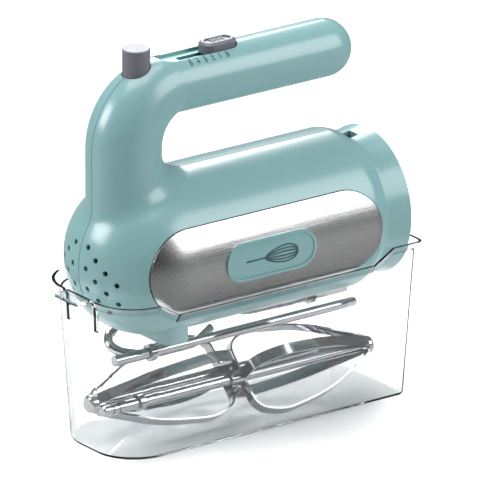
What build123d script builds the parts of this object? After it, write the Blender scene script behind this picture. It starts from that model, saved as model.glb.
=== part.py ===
from build123d import *
import os
from math import cos, pi, radians, sin, sqrt, tan

# Retro hand mixer, parked nose-forward (-X) in its open storage case.
# Origin: centre of the whole object's box, at the surface the case stands on.
# Left is -Y and right is +Y, as the user holds it. All sizes in millimetres.

# ---- capsule body of the mixer ----
body_r = 44.0              # outer radius of the motor body
body_axis_z = 104.4        # height of its long axis above the floor
nose_x = -51.45            # centre of the round nose
shoulder_x = 73.0          # where the cylinder starts to turn in
valley_x = 80.5            # waist between body and tail
valley_r = 38.2
tail_x = 95.25             # rear face of the tail
tail_r = 40.6
shoulder_fillet = 11.0
valley_fillet = 4.0
wall = 2.4                 # moulded wall of the housing

# ---- riser, bend and handle ----
riser_x = -65.8            # axis of the riser
riser_a = 20.9             # its half width along X
riser_b = 19.7             # its half width along Y
handle_r = 16.0
handle_rise = 92.0         # handle axis above the body axis
handle_end_x = 64.8        # centre of the handle's round end
bend_r = 30.0              # centreline radius of the bend
bend_steps = 5
junction_fillet = 16.5

# ---- fits ----
gap = 0.4                  # between a moving piece and a fixed one
running = 0.05             # radial clearance of a shaft in its bush
seat_gap = 0.2             # round a fixed piece dropped in a pocket

# ---- side panels and badges ----
panel_half_length = 74.5
panel_half_height = 23.7
panel_x = -0.6
panel_sink = 0.9
panel_proud = 0.3
panel_groove = 0.5         # dark line left round the panel
badge_half_length = 29.5
badge_half_height = 11.15
badge_proud = 0.9
badge_rim = 1.8
badge_rim_height = 0.5

# ---- spindles, gears and worm ----
spindle_x = -50.0
spindle_y = 20.5           # each side of the centre plane
spindle_r = 5.2
beater_shaft_r = 3.0
spindle_length = 60.0
spindle_collar_r = 6.4
spindle_collar_height = 5.0
boss_r = 9.0
boss_drop = 43.5           # underside of the socket boss below the body axis
gear_teeth = 24
gear_height = 9.0
worm_r = 4.5               # mean radius of the worm
worm_depth = 1.1           # thread height each side of the mean
worm_turns = 5
tooth_tip = 0.55
tooth_base = 2.97
mesh_gap = 0.3

# ---- ejector ----
button_x = -57.4
button_r = 7.5
button_top = 116.5         # above the body axis
button_travel = 7.0
button_flange = 1.8
rod_r = 2.2
fork_height = 3.5
spring_wire = 0.9
spring_mean_r = 4.6
spring_turns = 8

# ---- speed slider ----
knob_x = -4.4
knob_length = 22.0
knob_width = 12.0
knob_proud = 3.0           # above the handle's top
knob_chamfer = 1.3
knob_rim = 1.5
knob_dish = 0.8
knob_ribs = 5
speed_step = 4.8
speed_steps = 5
recess_depth = 3.2         # track floor below the handle's top
track_thick = 1.5
stem = 3.6

# ---- motor ----
motor_shaft_r = 3.0
stator_x = -2.0            # front face of the iron stack
stack_length = 32.0
stator_width = 50.0
stator_height = 56.0
stator_corner = 12.0
air_gap = 0.5
armature_r = 15.9
winding_r = 12.3
commutator_r = 10.0
commutator_length = 12.0
fan_r = 29.0
fan_blades = 12
bearing_r = 8.0
rear_bearing_r = 7.0
bearing_width = 5.0

# ---- storage case ----
case_front_x = -89.95      # at the floor
case_rear_x = 97.85
case_half_y = 32.8
case_wall = 1.8
case_front_corner = 25.0
case_rear_corner = 4.5
case_end_draft = 2.7       # degrees
case_side_draft = 3.2
case_rim_z = 89.5
case_dip = 7.6             # how far the long rims drop under the panels
case_flare_height = 5.0
case_flare = 3.5            # how far the long rims lean out
case_end_flare = 2.3
case_foot_fillet = 2.5
dip_start = -70.0
dip_end = 84.0
dip_ramp = 12.5
slot_y = 12.5
slot_width = 3.0
slot_depth = 18.0
lip_half_y = 10.0          # finger lip on the spring tongue
lip_thick = 2.0

# ---- whisks and dough hooks ----
whisk_length = 177.0
cage_length = 84.0
cage_r = 25.0
strip_width = 6.0
strip_thick = 1.2
whisk_y = 6.5              # whisk axes, each side of the centre plane
hub_r = 4.5
hub_length = 9.0
cap_bulge = 3.0
ear_from_end = 22.0
ear_reach = 5.2
hook_y = 11.0
hook_wire_r = 2.6
sleeve_length = 45.0       # pressed on the hook's plain end to fill the socket
hook_half_width = 13.0
hook_length = 168.0
hook_loop = 86.0
hook_tilt = 25.0           # degrees, the outer side of the loop rises
rest_gap = 0.5             # stored pieces above the case floor

# ---- air inlets in the nose ----
vent_r = 1.5
vent_rows = 3
vent_columns = 4
vent_top_lat = 17.5        # degrees above the body axis
vent_step = 7.7

# ---- screws ----
screw_r = 1.5
screw_head_r = 2.9
screw_boss_r = 4.4

# Derived places
mesh_r = spindle_y - worm_r                        # gear pitch radius
worm_root = worm_r - worm_depth
worm_crest = worm_r + worm_depth
gear_tip_r = spindle_y - worm_root - mesh_gap
gear_root_r = spindle_y - worm_crest - mesh_gap
worm_pitch = 2 * pi * mesh_r / gear_teeth
lead = worm_pitch / (2 * pi * worm_r)              # tangent of the lead angle
gear_twist = gear_height * lead / mesh_r * 180 / pi
gear_z = body_axis_z - gear_height / 2
handle_z = body_axis_z + handle_rise
bend_x = riser_x + bend_r
bend_z = handle_z - bend_r
handle_top = handle_z + handle_r
boss_z = body_axis_z - boss_drop
knob_travel = speed_step * speed_steps
axis_plane = Plane(origin=(0, 0, body_axis_z), x_dir=(1, 0, 0), z_dir=(0, -1, 0))
long_axis = Axis((0, 0, body_axis_z), (1, 0, 0))
SIDES = ((-1, "left"), (1, "right"))

os.makedirs("parts", exist_ok=True)


def save(builder, label):
    """Label a finished piece and write its STEP file."""
    builder.part.label = label
    export_step(builder.part, f"parts/{label}.step")


def body_of_revolution(inset):
    """Capsule body and flared tail, with every outer face moved in by inset."""
    r = body_r - inset
    with BuildPart() as capsule:
        with BuildSketch(axis_plane):
            with BuildLine():
                RadiusArc((nose_x - r, 0), (nose_x, r), r)
                FilletPolyline(
                    (nose_x, r),
                    (shoulder_x, r),
                    (valley_x, valley_r - inset),
                    (tail_x, tail_r - inset),
                    radius=[shoulder_fillet - inset, valley_fillet + inset],
                )
                Polyline((tail_x, tail_r - inset), (tail_x, 0), (nose_x - r, 0))
            make_face()
        revolve(axis=long_axis)
    return capsule.part


def bend_plane(turn):
    """Section plane of the bend, turn degrees on from the vertical riser."""
    t = radians(turn)
    centre = (bend_x - bend_r * cos(t), 0, bend_z + bend_r * sin(t))
    return Plane(origin=centre, x_dir=(-cos(t), 0, sin(t)), z_dir=(sin(t), 0, cos(t)))


def handle_form(inset):
    """Riser, bend and handle as one solid, moved in by inset."""
    with BuildPart() as grip:
        with BuildSketch(Plane(origin=(riser_x, 0, body_axis_z + 5), x_dir=(-1, 0, 0))):
            Ellipse(riser_a - inset, riser_b - inset)
        extrude(amount=bend_z - body_axis_z - 5)
        for i in range(bend_steps + 1):
            share = i / bend_steps
            ease = share * share
            with BuildSketch(bend_plane(90 * share)):
                Ellipse(
                    riser_a + (handle_r - riser_a) * ease - inset,
                    riser_b + (handle_r - riser_b) * ease - inset,
                )
        loft()
        with BuildSketch(Plane(origin=(bend_x, 0, handle_z), z_dir=(1, 0, 0))):
            Circle(handle_r - inset)
        extrude(amount=handle_end_x - bend_x)
        with Locations((handle_end_x, 0, handle_z)):
            Sphere(handle_r - inset)
    return grip.part


def mixer_form(inset):
    """The whole closed form of body and handle, moved in by inset."""
    with BuildPart() as form:
        add(body_of_revolution(inset))
        add(handle_form(inset))
    return form.part


def at_junction(edge):
    """True for the edges where the riser meets the body."""
    c = edge.center()
    on_riser = abs(c.X - riser_x) < riser_a + 2 and abs(c.Y) < riser_b + 1
    return on_riser and body_axis_z + 20 < c.Z < body_axis_z + body_r + 1



def stadium_prism(plane, half_length, half_height, depth):
    """Straight-sided prism with round ends, grown from plane along its normal."""
    with BuildPart() as prism:
        with BuildSketch(plane):
            SlotOverall(2 * half_length, 2 * half_height)
        extrude(amount=depth)
    return prism.part


outer = mixer_form(0)
inner = mixer_form(wall)
fit_form = mixer_form(wall + gap)      # what fixed inner pieces stay within

with BuildPart() as outer_form:
    add(outer)
    fillet(outer_form.edges().filter_by(at_junction), radius=junction_fillet)
    # oval socket boss under the nose, holding both spindles
    with BuildSketch(Plane.XY.offset(boss_z)):
        with Locations((spindle_x, 0)):
            SlotOverall(2 * (spindle_y + boss_r), 2 * boss_r, rotation=90)
    extrude(amount=boss_drop - spindle_y)
rounded_outer = outer_form.part

# ---- shell of the housing, before it is parted at the centre plane ----
recess_floor = handle_top - recess_depth
recess_front = knob_x - knob_length / 2 - knob_travel - 5
recess_rear = knob_x + knob_length / 2 + gap + 0.3
recess_length = recess_rear - recess_front
recess_x = (recess_rear + recess_front) / 2
recess_width = knob_width + 2 * gap + 1.2
track_z = recess_floor - track_thick
ledge = 2.0
slot_length = knob_travel + stem + 2 * gap

window_x = 83.5
window_length = 6.0
window_width = 8.2
window_wall = 2.2
gland_top = body_axis_z + 31
gland_height = 8.0

guide_z = handle_z + 2.6               # lower end of the button's guide ring
web_z = bend_z - 5                     # shelf that carries the return spring
web_thick = 3.0

cap_r = tail_r - wall - 0.4
cap_thick = 3.0
cap_set = 0.6

screw_places = (
    (handle_end_x - 6, handle_z),
    (riser_x - riser_a + wall + screw_boss_r, bend_z - 20),
    (34 + stack_length, body_axis_z + 27),
    (34 + stack_length, body_axis_z - 27),
    (-25, body_axis_z - 34),
)

# insulated leads from the speed switch, round the bend and along the body to the brushes
lead_r = 1.6
lead_y = 12.5
lead_z = body_axis_z + 34
brush_x = stator_x + stack_length + 14
lead_end = (brush_x, 16, body_axis_z + 3.8)
lead_route = (
    (bend_x + 5, 5, handle_z - 6.5),
    (bend_x - 9, 9, handle_z - 10),
    (button_x - 3, lead_y, bend_z + 6),
    (riser_x + 2, lead_y, bend_z - 20),
    (spindle_x, lead_y, lead_z),
    (brush_x - 8, lead_y, lead_z),
    (brush_x, 16, body_axis_z + 14),
    lead_end,
)
lead_bends = [7, 9, 14, 9, 9, 6]


def lead_tube(radius):
    """Tube along the route of the leads."""
    with BuildPart() as tube:
        with BuildLine() as route:
            FilletPolyline(*lead_route, radius=lead_bends)
        start = route.wires()[0]
        with BuildSketch(Plane(origin=start @ 0, z_dir=start % 0)):
            Circle(radius)
        sweep(path=start)
    return tube.part


with BuildPart() as shell:
    add(rounded_outer)
    add(inner, mode=Mode.SUBTRACT)
    # hollow of the socket boss
    with BuildSketch(Plane.XY.offset(boss_z + wall)):
        with Locations((spindle_x, 0)):
            SlotOverall(2 * (spindle_y + boss_r - wall), 2 * (boss_r - wall), rotation=90)
    extrude(amount=boss_drop - spindle_y - wall, mode=Mode.SUBTRACT)
    # open tail, with a rebate for the heel cap
    with BuildSketch(Plane.YZ.offset(tail_x)):
        with Locations((0, body_axis_z)):
            Circle(cap_r + seat_gap)
    extrude(amount=-(cap_thick + cap_set), mode=Mode.SUBTRACT)
shell_part = shell.part

with BuildPart() as fittings:
    # ledge under the speed slider's track
    with BuildSketch(Plane.XY.offset(track_z - ledge)):
        with Locations((recess_x, 0)):
            SlotOverall(recess_length + 5, recess_width + 5)
    extrude(amount=recess_depth + track_thick + ledge)
    # guide ring of the eject button and the spring's shelf
    with BuildSketch(Plane.XY.offset(guide_z)):
        with Locations((button_x, 0)):
            Circle(button_r + gap + 1.8)
    extrude(amount=handle_top - guide_z)
    with BuildSketch(Plane.XY.offset(web_z)):
        with Locations((riser_x, 0)):
            Ellipse(riser_a, riser_b)
    extrude(amount=web_thick)
    # block that frames the cord window
    with Locations((window_x, 0, gland_top - gland_height + 3)):
        Box(
            window_length + 2 * window_wall,
            window_width + 2 * window_wall,
            tail_r,
            align=(Align.CENTER, Align.CENTER, Align.MIN),
        )
    # ribs that hold the motor's iron stack
    for x in (stator_x + 5, stator_x + stack_length - 5):
        with BuildSketch(Plane.YZ.offset(x)):
            with Locations((0, body_axis_z)):
                Circle(body_r - 1)
                RectangleRounded(
                    stator_width + 2 * seat_gap,
                    stator_height + 2 * seat_gap,
                    stator_corner,
                    mode=Mode.SUBTRACT,
                )
        extrude(amount=2)
    # screw pillars, joined across the centre plane
    for x, z in screw_places:
        with BuildSketch(Plane.XZ.offset(body_r)):
            with Locations((x, z)):
                Circle(screw_boss_r)
        extrude(amount=-2 * body_r)
    add(rounded_outer, mode=Mode.INTERSECT)

panel_plane = Plane(origin=(panel_x, 0, body_axis_z), x_dir=(1, 0, 0), z_dir=(0, -1, 0))
panel_skin = body_of_revolution(-panel_proud) - body_of_revolution(panel_sink)
far_side = Plane(origin=(panel_x, 0, body_axis_z), x_dir=(-1, 0, 0), z_dir=(0, 1, 0))

with BuildPart() as housing:
    add(shell_part)
    add(fittings.part)
    # pockets for the steel side panels, a little larger than the panels
    for plane in (panel_plane, far_side):
        pocket = stadium_prism(
            plane, panel_half_length + panel_groove, panel_half_height + panel_groove, body_r + 2
        )
        add(pocket & (rounded_outer - body_of_revolution(panel_sink)), mode=Mode.SUBTRACT)
    # speed slider: stepped recess, then a channel for the carrier
    with BuildSketch(Plane.XY.offset(track_z)):
        with Locations((recess_x, 0)):
            SlotOverall(recess_length, recess_width)
    extrude(amount=recess_depth + track_thick + 1, mode=Mode.SUBTRACT)
    with BuildSketch(Plane.XY.offset(track_z - ledge - 1)):
        with Locations((knob_x - knob_travel / 2, 0)):
            SlotOverall(slot_length + 14, 9)
    extrude(amount=ledge + 2, mode=Mode.SUBTRACT)
    # eject button hole, and the rod's hole in the shelf
    with BuildSketch(Plane.XY.offset(guide_z - 1)):
        with Locations((button_x, 0)):
            Circle(button_r + gap)
    extrude(amount=handle_top, mode=Mode.SUBTRACT)
    with BuildSketch(Plane.XY.offset(web_z - 1)):
        with Locations((button_x, 0)):
            Circle(rod_r + gap)
    extrude(amount=web_thick + 2, mode=Mode.SUBTRACT)
    # cord window
    with Locations((window_x, 0, body_axis_z)):
        Box(
            window_length,
            window_width,
            body_r,
            align=(Align.CENTER, Align.CENTER, Align.MIN),
            mode=Mode.SUBTRACT,
        )
    # spindle holes in the boss
    with BuildSketch(Plane.XY.offset(boss_z - 1)):
        with Locations((spindle_x, spindle_y), (spindle_x, -spindle_y)):
            Circle(spindle_collar_r + gap)
    extrude(amount=boss_drop - body_r + wall + 8, mode=Mode.SUBTRACT)
    add(lead_tube(lead_r + gap), mode=Mode.SUBTRACT)
    # air inlets: rows of small holes that fan out from the front seam
    for row in range(vent_rows):
        for k in range(vent_columns if row < vent_rows - 1 else vent_columns - 1):
            lat = vent_top_lat - 2 * vent_step * row - vent_step * k
            for side, _ in SIDES:
                turn = side * (vent_step + (vent_step + 1) * k)
                out = Vector(-cos(radians(turn)) * cos(radians(lat)),
                             sin(radians(turn)) * cos(radians(lat)),
                             sin(radians(lat)))
                start = Vector(nose_x, 0, body_axis_z) + out * (body_r - 2 * wall)
                with BuildSketch(Plane(origin=start, z_dir=out)):
                    Circle(vent_r)
                extrude(amount=3 * wall, mode=Mode.SUBTRACT)
housing_whole = housing.part

for side, word in SIDES:
    with BuildPart() as half:
        add(housing_whole)
        split(bisect_by=Plane.XZ, keep=Keep.TOP if side < 0 else Keep.BOTTOM)
        for x, z in screw_places:
            if side < 0:
                # pilot hole in the left half
                with BuildSketch(Plane.XZ):
                    with Locations((x, z)):
                        Circle(screw_r)
                extrude(amount=10, mode=Mode.SUBTRACT)
            else:
                # clearance hole and deep head well in the right half
                with BuildSketch(Plane.XZ):
                    with Locations((x, z)):
                        Circle(screw_r + 0.1)
                extrude(amount=-10, mode=Mode.SUBTRACT)
                with BuildSketch(Plane.XZ.offset(-5)):
                    with Locations((x, z)):
                        Circle(screw_head_r + 0.3)
                extrude(amount=-body_r, mode=Mode.SUBTRACT)
    save(half, f"housing_{word}")

# ---- steel side panels and their badges ----
for side, word in SIDES:
    plane = panel_plane if side < 0 else far_side
    with BuildPart() as panel:
        add(panel_skin)
        add(
            stadium_prism(plane, panel_half_length, panel_half_height, body_r + 2),
            mode=Mode.INTERSECT,
        )
    save(panel, f"side_panel_{word}")
    rim_skin = body_of_revolution(-badge_proud - badge_rim_height)
    rim_skin -= body_of_revolution(-panel_proud)
    field_cut = stadium_prism(
        plane, badge_half_length - badge_rim, badge_half_height - badge_rim, body_r + 4
    )
    with BuildPart() as badge:
        add(rim_skin)
        add(
            stadium_prism(plane, badge_half_length, badge_half_height, body_r + 4),
            mode=Mode.INTERSECT,
        )
        add(field_cut - body_of_revolution(-badge_proud), mode=Mode.SUBTRACT)
    save(badge, f"badge_{word}")

# ---- heel cap with its ring of exhaust slots ----
with BuildPart() as heel_cap:
    with BuildSketch(Plane.YZ.offset(tail_x - cap_set - cap_thick)):
        with Locations((0, body_axis_z)):
            Circle(cap_r)
            with PolarLocations(0.62 * cap_r, 16):
                SlotOverall(0.36 * cap_r, 3.0, mode=Mode.SUBTRACT)
    extrude(amount=cap_thick)
    fillet(heel_cap.edges().group_by(Axis.X)[-1].sort_by(SortBy.LENGTH)[-1], radius=0.8)
save(heel_cap, "heel_cap")

# ---- speed slider: track, knob, carrier, switch and board ----
with BuildPart() as slider_track:
    with BuildSketch(Plane.XY.offset(track_z)):
        with Locations((recess_x, 0)):
            SlotOverall(recess_length - 2 * seat_gap, recess_width - 2 * seat_gap)
    extrude(amount=track_thick)
    with BuildSketch(Plane.XY.offset(track_z)):
        with Locations((knob_x - knob_travel / 2, 0)):
            Rectangle(slot_length, stem + 2 * gap)
    extrude(amount=track_thick, mode=Mode.SUBTRACT)
    add(outer, mode=Mode.INTERSECT)
save(slider_track, "slider_track")

knob_base = recess_floor + gap
knob_height = recess_depth + knob_proud - gap
with BuildPart() as speed_knob:
    with BuildSketch(Plane.XY.offset(knob_base)):
        with Locations((knob_x, 0)):
            SlotOverall(knob_length, knob_width)
    extrude(amount=knob_height)
    chamfer(speed_knob.edges().group_by(Axis.Z)[-1], length=knob_chamfer)
    fillet(speed_knob.edges().group_by(Axis.Z)[-1], radius=0.4)
    # dished top inside a raised rim, crossed by small ribs
    with BuildSketch(Plane.XY.offset(knob_base + knob_height - knob_dish)):
        with Locations((knob_x, 0)):
            SlotOverall(
                knob_length - 2 * (knob_chamfer + knob_rim),
                knob_width - 2 * (knob_chamfer + knob_rim),
            )
    extrude(amount=knob_dish, mode=Mode.SUBTRACT)
    with BuildSketch(Plane.XY.offset(knob_base + knob_height - knob_dish)):
        with GridLocations(1.8, 0, knob_ribs, 1):
            with Locations((knob_x, 0)):
                Rectangle(0.7, knob_width - 2 * (knob_chamfer + knob_rim) - 1)
    extrude(amount=knob_dish - 0.2)
    with BuildSketch(Plane.XY.offset(track_z - ledge)):
        with Locations((knob_x, 0)):
            Rectangle(stem, stem)
    extrude(amount=knob_base - track_z + ledge + 0.5)
save(speed_knob, "speed_knob")

carrier_top = track_z - gap
carrier_thick = 1.6
finger_depth = 3.0
with BuildPart() as slider_carrier:
    with BuildSketch(Plane.XY.offset(carrier_top - carrier_thick)):
        with Locations((knob_x, 0)):
            RectangleRounded(12, 7.4, 1)
            Rectangle(stem, stem, mode=Mode.SUBTRACT)
    extrude(amount=carrier_thick)
    with Locations((knob_x + 4, 0, carrier_top - carrier_thick)):
        Box(2.4, 2.4, finger_depth, align=(Align.CENTER, Align.CENTER, Align.MAX))
save(slider_carrier, "slider_carrier")

switch_top = carrier_top - carrier_thick - 1.0
switch_height = 11.0
with BuildPart() as speed_switch:
    with Locations((knob_x + 4 - knob_travel / 2, 0, switch_top)):
        Box(
            knob_travel + 12, 15, switch_height,
            align=(Align.CENTER, Align.CENTER, Align.MAX),
        )
    fillet(speed_switch.edges().filter_by(Axis.Z), radius=1)
    with Locations((knob_x + 4 - knob_travel / 2, 0, switch_top)):
        Box(
            knob_travel + 4, 4, finger_depth,
            align=(Align.CENTER, Align.CENTER, Align.MAX), mode=Mode.SUBTRACT,
        )
    for k in range(4):
        with Locations((knob_x + 2 - k * 7, 0, switch_top - switch_height)):
            Box(0.8, 5, 4, align=(Align.CENTER, Align.CENTER, Align.MAX))
save(speed_switch, "speed_switch")

board_front = knob_x + 17
with BuildPart() as control_board:
    with Locations(((board_front + handle_end_x - 14) / 2, 0, handle_z - 4)):
        Box(handle_end_x - 14 - board_front, 20, 1.6)
    parts_floor = handle_z - 4 + 0.8
    with BuildSketch(Plane.XY.offset(parts_floor)):
        with GridLocations(11, 9, 2, 2):
            with Locations((board_front + 10, 0)):
                Circle(3)
    extrude(amount=7)
    with Locations((board_front + 26, 0, parts_floor)):
        Box(3, 10, 9, align=(Align.CENTER, Align.CENTER, Align.MIN))
save(control_board, "control_board")

# ---- eject button, rod, fork and spring ----
button_z = body_axis_z + button_top
flange_z = guide_z - gap - button_flange
with BuildPart() as eject_button:
    with BuildSketch(Plane.XY.offset(flange_z)):
        with Locations((button_x, 0)):
            Circle(button_r)
    extrude(amount=button_z - flange_z)
    fillet(eject_button.edges().group_by(Axis.Z)[-1], radius=0.7)
    with BuildSketch(Plane.XY.offset(flange_z)):
        with Locations((button_x, 0)):
            Circle(button_r + 1.6)
    extrude(amount=button_flange)
    with BuildSketch(Plane.XY.offset(flange_z)):
        with Locations((button_x, 0)):
            Circle(button_r - 1.8)
            Circle(rod_r + 1.6, mode=Mode.SUBTRACT)
    extrude(amount=button_z - flange_z - 4, mode=Mode.SUBTRACT)
    with BuildSketch(Plane.XY.offset(flange_z)):
        with Locations((button_x, 0)):
            Circle(rod_r)
    extrude(amount=12, mode=Mode.SUBTRACT)
save(eject_button, "eject_button")

spindle_foot = boss_z
spindle_head = spindle_foot + spindle_length
fork_z = spindle_head + button_travel + gap
pin_reach = button_travel
with BuildPart() as eject_fork:
    with BuildSketch(Plane.XY.offset(fork_z)):
        with Locations((spindle_x, 0)):
            SlotOverall(2 * spindle_y + 9, 9, rotation=90)
        with Locations((button_x, 0)):
            Circle(5)
        with Locations(((button_x + spindle_x) / 2, 0)):
            Rectangle(abs(button_x - spindle_x), 8)
    extrude(amount=fork_height)
    with BuildSketch(Plane.XY.offset(fork_z)):
        with Locations((button_x, 0)):
            Circle(rod_r)
    extrude(amount=fork_height, mode=Mode.SUBTRACT)
    with BuildSketch(Plane.XY.offset(fork_z)):
        with Locations((spindle_x, spindle_y), (spindle_x, -spindle_y)):
            Circle(beater_shaft_r - gap)
    extrude(amount=-pin_reach)
save(eject_fork, "eject_fork")

with BuildPart() as eject_rod:
    with BuildSketch(Plane.XY.offset(fork_z)):
        with Locations((button_x, 0)):
            Circle(rod_r)
    extrude(amount=flange_z + 12 - fork_z)
save(eject_rod, "eject_rod")

spring_foot = web_z + web_thick
spring_length = flange_z - spring_foot
coil_height = spring_length - spring_wire
with BuildPart() as eject_spring:
    with BuildLine():
        coil = Helix(
            coil_height / spring_turns, coil_height, spring_mean_r,
            center=(button_x, 0, spring_foot + spring_wire / 2),
        )
    with BuildSketch(Plane(origin=coil @ 0, z_dir=coil % 0)):
        Circle(spring_wire / 2 - 0.02)
    sweep(path=coil, is_frenet=True)
save(eject_spring, "eject_spring")

# ---- gearbox: frame, cover, bushes, bearings ----
deck_z = boss_z + 15.0
deck_thick = 9.0
cover_z = body_axis_z + bearing_r + 1.2
cover_thick = 4.0
gearbox_front = spindle_x - gear_tip_r - 3
gearbox_rear = spindle_x + gear_tip_r + 1 + bearing_width + 2
gearbox_mid = (gearbox_front + gearbox_rear) / 2
gearbox_length = gearbox_rear - gearbox_front
bush_wall = 2.2
post_places = ((gearbox_rear - 3.4, 22), (gearbox_rear - 3.4, -22))

with BuildPart() as gearbox_frame:
    with Locations((gearbox_mid, 0, deck_z)):
        Box(
            gearbox_length, 2 * body_r, deck_thick,
            align=(Align.CENTER, Align.CENTER, Align.MIN),
        )
    # rear wall for the motor bearing, front tower for the shaft's nose bush
    with Locations((gearbox_rear, 0, deck_z + deck_thick)):
        Box(
            bearing_width + 2, 54, cover_z - deck_z - deck_thick,
            align=(Align.MAX, Align.CENTER, Align.MIN),
        )
    with Locations((gearbox_front, 0, deck_z + deck_thick)):
        Box(
            6, 13, cover_z - deck_z - deck_thick,
            align=(Align.MIN, Align.CENTER, Align.MIN),
        )
    add(fit_form, mode=Mode.INTERSECT)
    with BuildSketch(Plane.XY.offset(deck_z)):
        with Locations((spindle_x, spindle_y), (spindle_x, -spindle_y)):
            Circle(spindle_r + running + bush_wall)
    extrude(amount=deck_thick, mode=Mode.SUBTRACT)
    with BuildSketch(Plane.YZ.offset(gearbox_rear - bearing_width)):
        with Locations((0, body_axis_z)):
            Circle(bearing_r)
    extrude(amount=bearing_width, mode=Mode.SUBTRACT)
    with BuildSketch(Plane.YZ.offset(gearbox_rear - bearing_width - 2)):
        with Locations((0, body_axis_z)):
            Circle(motor_shaft_r + 2.4)
    extrude(amount=bearing_width, mode=Mode.SUBTRACT)
    with BuildSketch(Plane.YZ.offset(gearbox_front)):
        with Locations((0, body_axis_z)):
            Circle(motor_shaft_r + running + 1.5)
    extrude(amount=6, mode=Mode.SUBTRACT)
    with BuildSketch(Plane.XY.offset(cover_z)):
        with Locations(*post_places):
            Circle(1.2)
    extrude(amount=-10, mode=Mode.SUBTRACT)
save(gearbox_frame, "gearbox_frame")

with BuildPart() as gearbox_cover:
    with Locations((gearbox_mid, 0, cover_z)):
        Box(
            gearbox_length, 2 * body_r, cover_thick,
            align=(Align.CENTER, Align.CENTER, Align.MIN),
        )
    add(fit_form, mode=Mode.INTERSECT)
    with BuildSketch(Plane.XY.offset(cover_z)):
        with Locations((spindle_x, spindle_y), (spindle_x, -spindle_y)):
            Circle(spindle_r + running + bush_wall)
        with Locations(*post_places):
            Circle(1.4)
    extrude(amount=cover_thick, mode=Mode.SUBTRACT)
save(gearbox_cover, "gearbox_cover")

with BuildPart() as gearbox_screws:
    with BuildSketch(Plane.XY.offset(cover_z + cover_thick)):
        with Locations(*post_places):
            Circle(2.4)
    extrude(amount=1.6)
    with BuildSketch(Plane.XY.offset(cover_z + cover_thick)):
        with Locations(*post_places):
            Circle(1.2)
    extrude(amount=-(cover_thick + 8))
save(gearbox_screws, "gearbox_screws")

with BuildPart() as spindle_bushes:
    for z, height in ((deck_z, deck_thick), (cover_z, cover_thick)):
        with BuildSketch(Plane.XY.offset(z)):
            with Locations((spindle_x, spindle_y), (spindle_x, -spindle_y)):
                Circle(spindle_r + running + bush_wall)
                Circle(spindle_r + running, mode=Mode.SUBTRACT)
        extrude(amount=height)
save(spindle_bushes, "spindle_bushes")

with BuildPart() as nose_bush:
    with BuildSketch(Plane.YZ.offset(gearbox_front)):
        with Locations((0, body_axis_z)):
            Circle(motor_shaft_r + running + 1.5)
            Circle(motor_shaft_r + running, mode=Mode.SUBTRACT)
    extrude(amount=6)
save(nose_bush, "nose_bush")


def ball_bearing(x, radius):
    """Closed ball bearing on the motor shaft, its front face at x."""
    with BuildPart() as bearing:
        with BuildSketch(Plane.YZ.offset(x)):
            with Locations((0, body_axis_z)):
                Circle(radius)
                Circle(motor_shaft_r + running, mode=Mode.SUBTRACT)
        extrude(amount=bearing_width)
        for face in (x, x + bearing_width - 0.4):
            with BuildSketch(Plane.YZ.offset(face)):
                with Locations((0, body_axis_z)):
                    Circle(radius - 1.2)
                    Circle(motor_shaft_r + 1.4, mode=Mode.SUBTRACT)
            extrude(amount=0.4, mode=Mode.SUBTRACT)
    return bearing


save(ball_bearing(gearbox_rear - bearing_width, bearing_r), "front_bearing")

# ---- spindles and their helical gears, mirrored about the worm ----
for side, word in SIDES:
    spot = (spindle_x, side * spindle_y)
    # a tooth faces the worm on the left side, a gap on the right
    phase = 90 if side < 0 else 270 + 180 / gear_teeth
    with BuildSketch() as gear_outline:
        Circle(gear_root_r)
        with PolarLocations(0, gear_teeth, start_angle=phase - gear_twist / 2):
            with BuildLine():
                Polyline(
                    (gear_root_r - 0.5, -tooth_base / 2 - 0.2),
                    (gear_tip_r, -tooth_tip / 2),
                    (gear_tip_r, tooth_tip / 2),
                    (gear_root_r - 0.5, tooth_base / 2 + 0.2),
                    close=True,
                )
            make_face()
    face = gear_outline.sketch.faces()[0].moved(Location((*spot, gear_z)))
    blank = Solid.extrude_linear_with_rotation(
        face, (*spot, gear_z), (0, 0, gear_height), gear_twist
    )
    with BuildPart() as gear:
        add(blank)
        with BuildSketch(Plane.XY.offset(gear_z)):
            with Locations(spot):
                Circle(spindle_r)
        extrude(amount=gear_height, mode=Mode.SUBTRACT)
        # lightening ring in both faces
        for z, grow in ((gear_z, 2.0), (gear_z + gear_height, -2.0)):
            with BuildSketch(Plane.XY.offset(z)):
                with Locations(spot):
                    Circle(gear_root_r - 2.2)
                    Circle(spindle_r + 2.2, mode=Mode.SUBTRACT)
            extrude(amount=grow, mode=Mode.SUBTRACT)
    save(gear, f"gear_{word}")

    with BuildPart() as spindle:
        with BuildSketch(Plane.XY.offset(spindle_foot)):
            with Locations(spot):
                Circle(spindle_r)
        extrude(amount=spindle_length)
        with BuildSketch(Plane.XY.offset(spindle_foot)):
            with Locations(spot):
                Circle(spindle_collar_r)
        extrude(amount=spindle_collar_height)
        with BuildSketch(Plane.XY.offset(spindle_foot)):
            with Locations(spot):
                Circle(beater_shaft_r + running)
        extrude(amount=spindle_length, mode=Mode.SUBTRACT)
        # slots for the ears of a whisk or hook
        with Locations((*spot, spindle_foot)):
            Box(
                2 * spindle_r + 0.6, 1.8, spindle_collar_height - 1,
                align=(Align.CENTER, Align.CENTER, Align.MIN), mode=Mode.SUBTRACT,
            )
    save(spindle, f"spindle_{word}")

# ---- motor: shaft with worm, armature, commutator, fan ----
shaft_front = gearbox_front
commutator_x = brush_x - commutator_length / 2
bridge_x = commutator_x + commutator_length + 4
bridge_thick = bearing_width + 1
shaft_rear = bridge_x + bridge_thick
worm_length = worm_turns * worm_pitch
worm_x = spindle_x - worm_length / 2

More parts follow.
